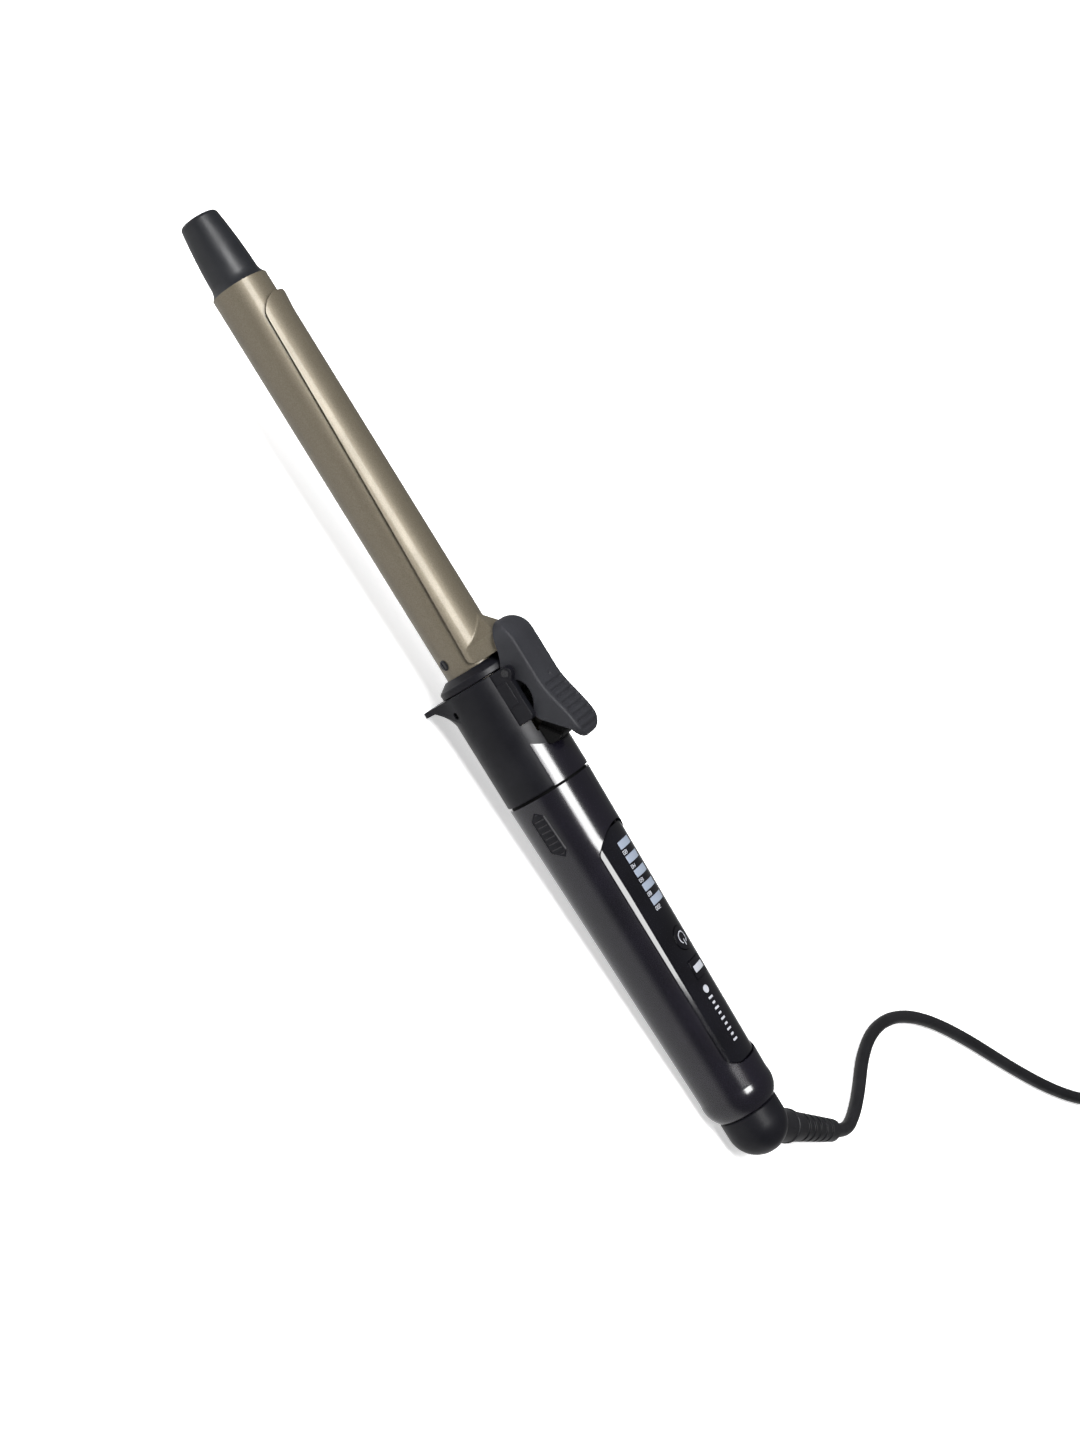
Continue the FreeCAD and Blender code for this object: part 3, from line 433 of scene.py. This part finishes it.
def box_shell(low, high):
    """The eight points and six faces of a plain box."""
    points = [(x, y, z) for x in (low[0], high[0]) for y in (low[1], high[1]) for z in (low[2], high[2])]
    faces = [(0, 1, 3, 2), (4, 6, 7, 5), (0, 4, 5, 1), (2, 3, 7, 6), (0, 2, 6, 4), (1, 5, 7, 3)]
    return points, faces


def joined(*shells):
    """Several (points, faces) shells as one."""
    points, faces = [], []
    for more_points, more_faces in shells:
        start = len(points)
        points += more_points
        faces += [tuple(start + index for index in face) for face in more_faces]
    return points, faces


# ------------------------------------------------------------------ the clamp

CLAMP_FRONT, CLAMP_REAR = 37.0, 186.6
CLAMP_OUTER, CLAMP_INNER = 12.5, 11.3
FRONT_LONG, FRONT_FLAT, FRONT_ROUND, FRONT_HALF = 6, 1.8, 7.4, 9.1
REAR_ROUND, REAR_HALF = 2.4, 11.4
LIP_LIFT = 0.6
NECK_START, NECK_WIDE = 171.3, 180.5
NECK_FOOT, NECK_LOW, NECK_HIGH = 10.48, 6.8, 18.3
ROOF_SLOPE, SIDE_SLOPE, SPREAD_SLOPE = 0.62, 2.87, 2.65
ARM = ((179.5, -5, 19.0), (208.5, 5, 20.2))
ARM_FOOT = ((179.5, -5, 17.2), (184.0, 5, 19.1))


def clamp_half(x):
    """Half of the clamp's width, with its rounded front and rear corners."""
    if x < CLAMP_FRONT + FRONT_LONG:
        return FRONT_FLAT + math.sqrt(max(0, FRONT_ROUND**2 - (CLAMP_FRONT + 7.35 - x) ** 2))
    if x > CLAMP_REAR - REAR_ROUND:
        return REAR_HALF - REAR_ROUND + math.sqrt(max(0, REAR_ROUND**2 - (x - CLAMP_REAR + REAR_ROUND) ** 2))
    return between(x, [(CLAMP_FRONT + FRONT_LONG, FRONT_HALF), (CLAMP_REAR - REAR_ROUND, REAR_HALF)])


def clamp_lift(x):
    """How far the clamp's front lip stands away from the barrel."""
    return LIP_LIFT * (1 - ease(x, CLAMP_FRONT - 1, CLAMP_FRONT + 9))


def neck_height(x, y):
    """The neck's roof and its two sloping sides, which meet the clamp in a V."""
    roof = soft_min(CLAMP_OUTER + ROOF_SLOPE * (x - NECK_START), NECK_HIGH, 0.8)
    side = NECK_LOW + SIDE_SLOPE * (NECK_FOOT - abs(y)) + SPREAD_SLOPE * (min(x, NECK_WIDE) - NECK_WIDE)
    return soft_min(roof, side, 0.6)


def clamp_section(x):
    """The clamp's section: its outer face with the neck, then its bore."""
    lift = clamp_lift(x)
    radius, bore = CLAMP_OUTER + lift, CLAMP_INNER + lift
    reach = math.asin(clamp_half(x) / radius)
    turns = [reach * (2 * index / 80 - 1) for index in range(81)]
    outer = []
    for turn in turns:
        y, height = radius * math.sin(turn), radius * math.cos(turn)
        if x > NECK_START - 1.5:
            height = soft_max(height, neck_height(x, y), 0.35)
        outer.append((x, y, height))
    inner = [(x, bore * math.sin(turn), bore * math.cos(turn)) for turn in reversed(turns[::2])]
    return outer + inner


clamp_places = [
    CLAMP_FRONT + FRONT_LONG * (1 - math.cos(math.pi / 2 * index / 12)) for index in range(13)
]
clamp_places += steps(CLAMP_FRONT + FRONT_LONG, NECK_START - 2, 3)[1:]
clamp_places += steps(NECK_START - 2, CLAMP_REAR - REAR_ROUND, 0.3)[1:]
clamp_places += [
    CLAMP_REAR - REAR_ROUND * (1 - math.sin(math.pi / 2 * index / 12)) for index in range(1, 13)
]
clamp_shells = joined(
    loft([clamp_section(x) for x in clamp_places]), box_shell(*ARM), box_shell(*ARM_FOOT)
)
clamp_plate = finish_piece(
    "clamp_spoon", wand_mesh("clamp_spoon", *clamp_shells, limit=50), champagne, "clamp",
    ["clamp_plate"],
)
add_bevel(clamp_plate, 0.3, 55, 3)

# ------------------------------------------------------------------ the thumb lever

LEVER_FRONT, LEVER_REAR, LEVER_HALF = 177.5, 228.9, 9.0
END_ROUND = 6.5
SKIRT = 1.8
LEVER_UNDER = [
    (177.5, 18.8), (187.0, 16.5), (190.2, 15.3), (192.2, 13.9), (194.8, 13.3), (197.2, 13.9), (198.8, 17.0),
    (200.2, 18.4), (202.2, 19.2), (204.4, 19.4), (206.6, 19.1), (208.8, 18.2), (210.4, 17.1), (212.0, 16.3),
    (213.6, 15.95), (215.2, 16.6), (223.6, 25.2), (228.9, 26.2),
]
LEVER_CEILING = [(183.0, 22.6), (205.5, 22.8), (217.0, 25.3), (225.2, 26.0)]
NOSE_X, NOSE_Z, TAIL_X, TAIL_Z = 187.0, 18.9, 224.4, 26.3
LEVEL_Z, TAIL_RISE, RISE_FROM = 25.0, 3.75, 202.5
HOLLOW_END = 225.2
RIB_FIRST, RIB_PITCH, RIB_COUNT, RIB_DEEP = 206.2, 2.8, 8, 0.75
DIMPLE_X, DIMPLE_DEEP = 203.2, 0.6


def lever_half(x):
    """Half of the lever's width, with its rounded ends."""
    near = min(x - LEVER_FRONT, LEVER_REAR - x)
    if near >= END_ROUND:
        return LEVER_HALF
    return LEVER_HALF - END_ROUND + math.sqrt(END_ROUND**2 - (END_ROUND - near) ** 2)


def lever_top(x):
    """The top's height: a round nose, a level thumb rest and a raised tail."""
    height = LEVEL_Z + TAIL_RISE * ease(x, RISE_FROM, TAIL_X)
    if x < NOSE_X:
        part = (NOSE_X - x) / (NOSE_X - LEVER_FRONT)
        return NOSE_Z + (height - NOSE_Z) * math.sqrt(max(0, 1 - part**2))
    if x > TAIL_X:
        part = (x - TAIL_X) / (LEVER_REAR - TAIL_X)
        return TAIL_Z + (height - TAIL_Z) * math.sqrt(max(0, 1 - part**2))
    return height


def lever_under(x):
    """The skirt's lower edge, averaged over a millimetre so that its corners are round."""
    return sum(between(x + shift, LEVER_UNDER) for shift in (-0.6, -0.3, 0, 0.3, 0.6)) / 5


def rib_depth(x, y):
    """Eight shallow grooves across the tail and one dimple in front of them."""
    wave = 0.5 + 0.5 * math.cos(2 * math.pi * (x - RIB_FIRST) / RIB_PITCH)
    end = RIB_FIRST + RIB_PITCH * RIB_COUNT
    inside = ease(x, RIB_FIRST - 1.5, RIB_FIRST - 0.9) * (1 - ease(x, end - 1.9, end - 1.3))
    ribs = RIB_DEEP * wave**1.5 * inside * (1 - ease(abs(y), 6.2, 7.4))
    dimple = DIMPLE_DEEP * (1 - ease(math.hypot(x - DIMPLE_X, y), 0.3, 1.0))
    return ribs + dimple


def lever_section(x):
    """The lever's section: its outer face from skirt to skirt, then its hollow."""
    half, under = lever_half(x), lever_under(x)
    top = max(lever_top(x), under + 0.05)
    crown = 0.45 * half / LEVER_HALF
    corner = min(1.3, 0.45 * (top - under), 0.45 * half)
    edge = top - crown
    outer = [(-half, under + (edge - corner - under) * index / 8) for index in range(9)]
    for index in range(1, 8):
        turn = math.pi / 2 * index / 8
        outer.append((-half + corner * (1 - math.cos(turn)), edge - corner + corner * math.sin(turn)))
    inner_half = half - corner
    for index in range(49):
        y = inner_half * (2 * index / 48 - 1)
        rise = crown * (1 - (y / inner_half) ** 2)
        outer.append((y, edge + rise - rib_depth(x, y)))
    outer += [(-y, z) for y, z in reversed(outer[:16])]
    hollow = SKIRT + LEVER_FRONT < x < HOLLOW_END
    ceiling = min(between(x, LEVER_CEILING), top - 1.6) if hollow else under + 0.001
    ceiling = max(ceiling, under + 0.001)
    wide = max(0.5, half - SKIRT)
    inner = [(wide, under + (ceiling - under) * index / 5) for index in range(6)]
    inner += [(wide - 2 * wide * index / 6, ceiling) for index in range(1, 6)]
    inner += [(-y, z) for y, z in reversed(inner[:6])]
    return [(x, y, z) for y, z in outer + inner]


def end_steps(start, end, count):
    """Places that lie closer together towards start."""
    return [start + (end - start) * (1 - math.cos(math.pi / 2 * index / count)) for index in range(count + 1)]


lever_places = end_steps(LEVER_FRONT, LEVER_FRONT + SKIRT, 8)
lever_places += steps(LEVER_FRONT + SKIRT + 0.02, 204.4, 0.5)
lever_places += steps(204.4, 225.18, 0.2)[1:]
lever_places += [225.22, *reversed(end_steps(LEVER_REAR, 225.4, 9))]
finish_piece(
    "thumb_lever", wand_mesh("thumb_lever", *loft([lever_section(x) for x in lever_places]), limit=48),
    soft_grey, "clamp", ["clamp_lever"],
)

# ------------------------------------------------------------------ CAD shapes with rounded edges

softened("hinge_bracket", "handle", "satin_black", satin_black, 0.35)
softened("lever_bumper", "handle", "bumper_rubber", bumper_black_and_painted_shade, 0.6)
softened("front_housing", "handle", "satin_black", satin_black, 0.3)
softened("barrel_screws", "handle", "steel", dark_steel, 0.12)
softened("housing_screws", "handle", "steel", dark_steel, 0.15)
softened("power_button", "power_button", "button_black", panel_black, 0.25)
softened("mode_button", "mode_button", "button_black", panel_black, 0.25)
softened("led_windows", "handle", "pale_window", window_pale, 0.12)
CORD_PIECES = {
    "cord_relief": ("cord_black", rubber, 0.2),
    "plug_body": ("cord_black", rubber, 0.6),
    "plug_pins": ("prong_nickel", nickel, 0.3),
    "cord_tie": ("tie_black", tie_black, 0.25),
}
cord_pieces = {name: softened(name, "swivel", *look) for name, look in CORD_PIECES.items()}

# ------------------------------------------------------------------ the mark on the handle's side

HANDLE_LINE = [(239.0, 16.55), (286.0, 15.6), (320.0, 15.0), (367.0, 14.1)]
MARK_LOW = [(242.8, -1.6), (245.2, -4.7), (258.5, -4.7), (261.9, 0.2)]
MARK_HIGH = [(242.8, -1.6), (245.2, 1.7), (259.5, 2.2), (261.9, 0.2)]
MARK_FOOT, MARK_RISE, MARK_SUNK = 0.05, 0.3, -0.3
HATCH_FROM, HATCH_PITCH, HATCH_DEEP = 243.9, 2.35, 0.42


def side_point(x, z, proud):
    """A point on the handle's near side, standing proud of its surface."""
    radius = between(x, HANDLE_LINE)
    reach = math.sqrt(radius**2 - z * z)
    return (x, -reach * (radius + proud) / radius, z * (radius + proud) / radius)


def mark_section(x):
    """The mark's section: its hatched face, then its underside in the handle."""
    low, high = between(x, MARK_LOW), between(x, MARK_HIGH)
    hatch = 0.5 + 0.5 * math.cos(2 * math.pi * (x - HATCH_FROM) / HATCH_PITCH)
    face, under = [], []
    for index in range(17):
        part = index / 16
        inside = min(part, 1 - part) * (high - low)
        rise = MARK_FOOT + MARK_RISE * ease(inside, 0, 0.4) - HATCH_DEEP * hatch**2 * ease(inside, 0.5, 1.0)
        z = low + (high - low) * part
        face.append(side_point(x, z, rise))
        under.append(side_point(x, z, MARK_SUNK))
    return face + list(reversed(under))


mark_places = steps(MARK_LOW[0][0] + 0.02, MARK_LOW[-1][0] - 0.02, 0.16)
finish_piece(
    "side_lozenge", wand_mesh("side_lozenge", *loft([mark_section(x) for x in mark_places])), satin_black,
    "handle", ["side_mark"],
)

# ------------------------------------------------------------------ prints on the panel and its buttons

PANEL_FRONT, PANEL_TOP, PANEL_FALL, PANEL_DROP = 261.2, 15.25, math.radians(1.34), 0.15
CROWN = 18.0
INK_PROUD, INK_THICK = 0.035, 0.12

def panel_height(x, y):
    """The panel's gently crowned face, which follows the handle's round near its edges."""
    crown = PANEL_TOP - CROWN - math.tan(PANEL_FALL) * (x - PANEL_FRONT) + math.sqrt(CROWN**2 - y * y)
    return min(crown, math.sqrt((between(x, HANDLE_LINE) - PANEL_DROP) ** 2 - y * y))


def printed(name, shapes, body, rise):
    """Thin ink shapes, each given as rows of (x, y), laid on the panel so that they follow its crown."""
    points, faces = [], []
    for rows in shapes:
        start, wide = len(points), len(rows[0])
        count = len(rows) * wide
        for sink in (0, INK_THICK):
            points += [(x, y, panel_height(x, y) + rise + INK_PROUD - sink) for row in rows for x, y in row]
        grid = [[start + row * wide + column for column in range(wide)] for row in range(len(rows))]
        for row, ahead in zip(grid, grid[1:]):
            for column in range(wide - 1):
                face = (row[column], row[column + 1], ahead[column + 1], ahead[column])
                faces += [face, tuple(corner + count for corner in reversed(face))]
        rim = grid[0][:-1] + [row[-1] for row in grid[:-1]]
        rim += grid[-1][:0:-1] + [row[0] for row in grid[:0:-1]]
        for here, ahead in zip(rim, rim[1:] + rim[:1]):
            faces.append((here, ahead, ahead + count, here + count))
    mesh = wand_mesh(name, points, faces)
    return finish_piece(name, mesh, print_pale, body)


def stroke(start, end, width, cuts=4):
    """A straight ink stroke between two points."""
    ahead = Vector(end) - Vector(start)
    side = Vector((-ahead.y, ahead.x)).normalized() * width / 2
    line = [Vector(start) + ahead * index / cuts for index in range(cuts + 1)]
    return [(tuple(point + side), tuple(point - side)) for point in line]


def arc_strokes(x, radius, width, start, end, count):
    """Short strokes along an arc round (x, 0), from one angle to another in degrees."""
    turns = [math.radians(start + (end - start) * index / count) for index in range(count + 1)]
    spots = [(x + radius * math.cos(turn), radius * math.sin(turn)) for turn in turns]
    return [stroke(before, after, width, 1) for before, after in zip(spots, spots[1:])]


def disc(middle, radius, count=14):
    """A round ink spot, in rows across the panel."""
    rows = []
    for index in range(1, count):
        turn = math.pi * index / count
        reach, y = radius * math.sin(turn), middle[1] - radius * math.cos(turn)
        rows.append([(middle[0] + reach * part / 4, y) for part in range(-4, 5)])
    return rows


SEGMENTS = {
    "top": ((0, 1), (1, 1)), "middle": ((0, 0.5), (1, 0.5)), "bottom": ((0, 0), (1, 0)),
    "upper_left": ((0, 0.5), (0, 1)), "upper_right": ((1, 0.5), (1, 1)),
    "lower_left": ((0, 0), (0, 0.5)), "lower_right": ((1, 0), (1, 0.5)),
}
DIGITS = {
    "0": "top bottom upper_left upper_right lower_left lower_right",
    "1": "upper_right lower_right",
    "2": "top upper_right middle lower_left bottom",
    "4": "upper_left upper_right middle lower_right",
    "5": "top upper_left middle lower_right bottom",
    "6": "top upper_left middle lower_left lower_right bottom",
    "8": "top middle bottom upper_left upper_right lower_left lower_right",
}


def number_strokes(number, x, y, wide=0.68, high=1.35, pitch=1.1, width=0.24):
    """A number in plain strokes, read across the panel from the far side to the near side."""
    strokes = []
    for index, digit in enumerate(number):
        for segment in DIGITS[digit].split():
            ends = [
                (x + (up - 0.5) * high, y - index * pitch - across * wide)
                for across, up in SEGMENTS[segment]
            ]
            strokes.append(stroke(*ends, width, 2))
    return strokes


WINDOW_START, WINDOW_PITCH, NUMBER_Y = 269.2, 5.8, -1.6
DOT_X, DOT_RADIUS = 329.6, 1.5
SCALE_FROM, SCALE_PITCH, SCALE_COUNT, SCALE_Y, SCALE_WIDTH = 333.0, 2.2, 9, -3.2, 0.8
LONG_HALF, SHORT_HALF = 1.25, 0.85
marks = []
for index, number in enumerate(("120", "140", "160", "180", "200")):
    marks += number_strokes(number, WINDOW_START + WINDOW_PITCH * (index + 0.5), NUMBER_Y)
marks.append(disc((DOT_X, SCALE_Y), DOT_RADIUS))
for index in range(SCALE_COUNT):
    half = LONG_HALF if index % 2 == 0 else SHORT_HALF
    x = SCALE_FROM + SCALE_PITCH * index
    marks.append(stroke((x, SCALE_Y - half), (x, SCALE_Y + half), SCALE_WIDTH))
printed("panel_marks", marks, "handle", 0)

POWER_X, MODE_X, KEY_RISE = 309.5, 321.5, 0.3
printed(
    "power_symbol",
    [*arc_strokes(POWER_X, 2.3, 0.5, 30, 330, 20), stroke((POWER_X + 0.6, 0), (POWER_X + 3.1, 0), 0.5)],
    "power_button", KEY_RISE,
)
printed("mode_symbol", [stroke((MODE_X, -3.7), (MODE_X, 3.5), 2.6, 10)], "mode_button", KEY_RISE)

# ------------------------------------------------------------------ the cord

CORD = 5.5
RELIEF_END = (215.179, 54.488, 6.802)
ROUTE = [
    RELIEF_END,
    (221.3, 66.6, 4.4),
    (222.6, 80.6, 2.97),
    (218.6, 98.2, 2.77),
    (211.0, 119.0, 2.77),
    (208.4, 141.5, 2.77),
    (213.6, 165.5, 2.77),
    (227.0, 188.5, 2.77),
    (248.0, 210.0, 2.77),
    (275.0, 232.0, 2.77),
    (299.5, 255.0, 2.77),
    (319.9, 280.4, 3.17),
]
TAIL = [(415.7, 276.0, 9.1), (418.1, 261.0, 7.47), (420.7, 244.0, 6.87)]
COIL_X, COIL_Y, COIL_LOW, COIL_HIGH = 372.0, 290.0, 3.7, 9.3
COIL_ENTRY = 156.0
TURN_POINTS = 18
OUTER, INNER, DEEPEST = 43.7, 21.3, 19.9
COIL_EXIT_TURNS = COIL_ENTRY / 360


def coil_points():
    """The put-away length: a spiral inwards on the table, a rise, and a spiral outwards on top of it."""
    laps_down, laps_up = 4.0, 4.0 + COIL_EXIT_TURNS
    spread = 1 / math.cos(math.pi / TURN_POINTS)
    for index in range(1, round((laps_down + 1 + laps_up) * TURN_POINTS) + 1):
        lap = index / TURN_POINTS
        if lap <= laps_down:
            radius, rise = OUTER + (INNER - OUTER) * lap / laps_down, COIL_LOW
        elif lap <= laps_down + 1:
            part = lap - laps_down
            radius = INNER + (DEEPEST - INNER) * math.sin(part * math.pi / 2)
            rise = COIL_LOW + (COIL_HIGH - COIL_LOW) * part
        else:
            part = (lap - laps_down - 1) / laps_up
            radius, rise = DEEPEST + (OUTER - DEEPEST) * part, COIL_HIGH
        turn = math.radians(COIL_ENTRY - 360 * lap)
        yield (
            COIL_X + radius * spread * math.cos(turn), COIL_Y + radius * spread * math.sin(turn), rise
        )


cord_data = bpy.data.curves.new("mains_cord", "CURVE")
cord_data.dimensions = "3D"
cord_data.bevel_depth = CORD / 2 * MM
cord_data.bevel_resolution = 5
cord_data.use_fill_caps = True
cord_points = [*ROUTE, (332.1, 307.8, COIL_LOW), *coil_points(), *TAIL]
spline = cord_data.splines.new("NURBS")
spline.points.add(len(cord_points) - 1)
for point, place in zip(spline.points, cord_points):
    point.co = (*(Vector(place) * MM), 1)
spline.order_u = 3
spline.use_endpoint_u = True
spline.resolution_u = 6
mains_cord = make_object("mains_cord", cord_data)
cord_data.materials.append(rubber.material)
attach(mains_cord, "swivel")
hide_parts("cord_tube", "cord_coil", "cord_tail")
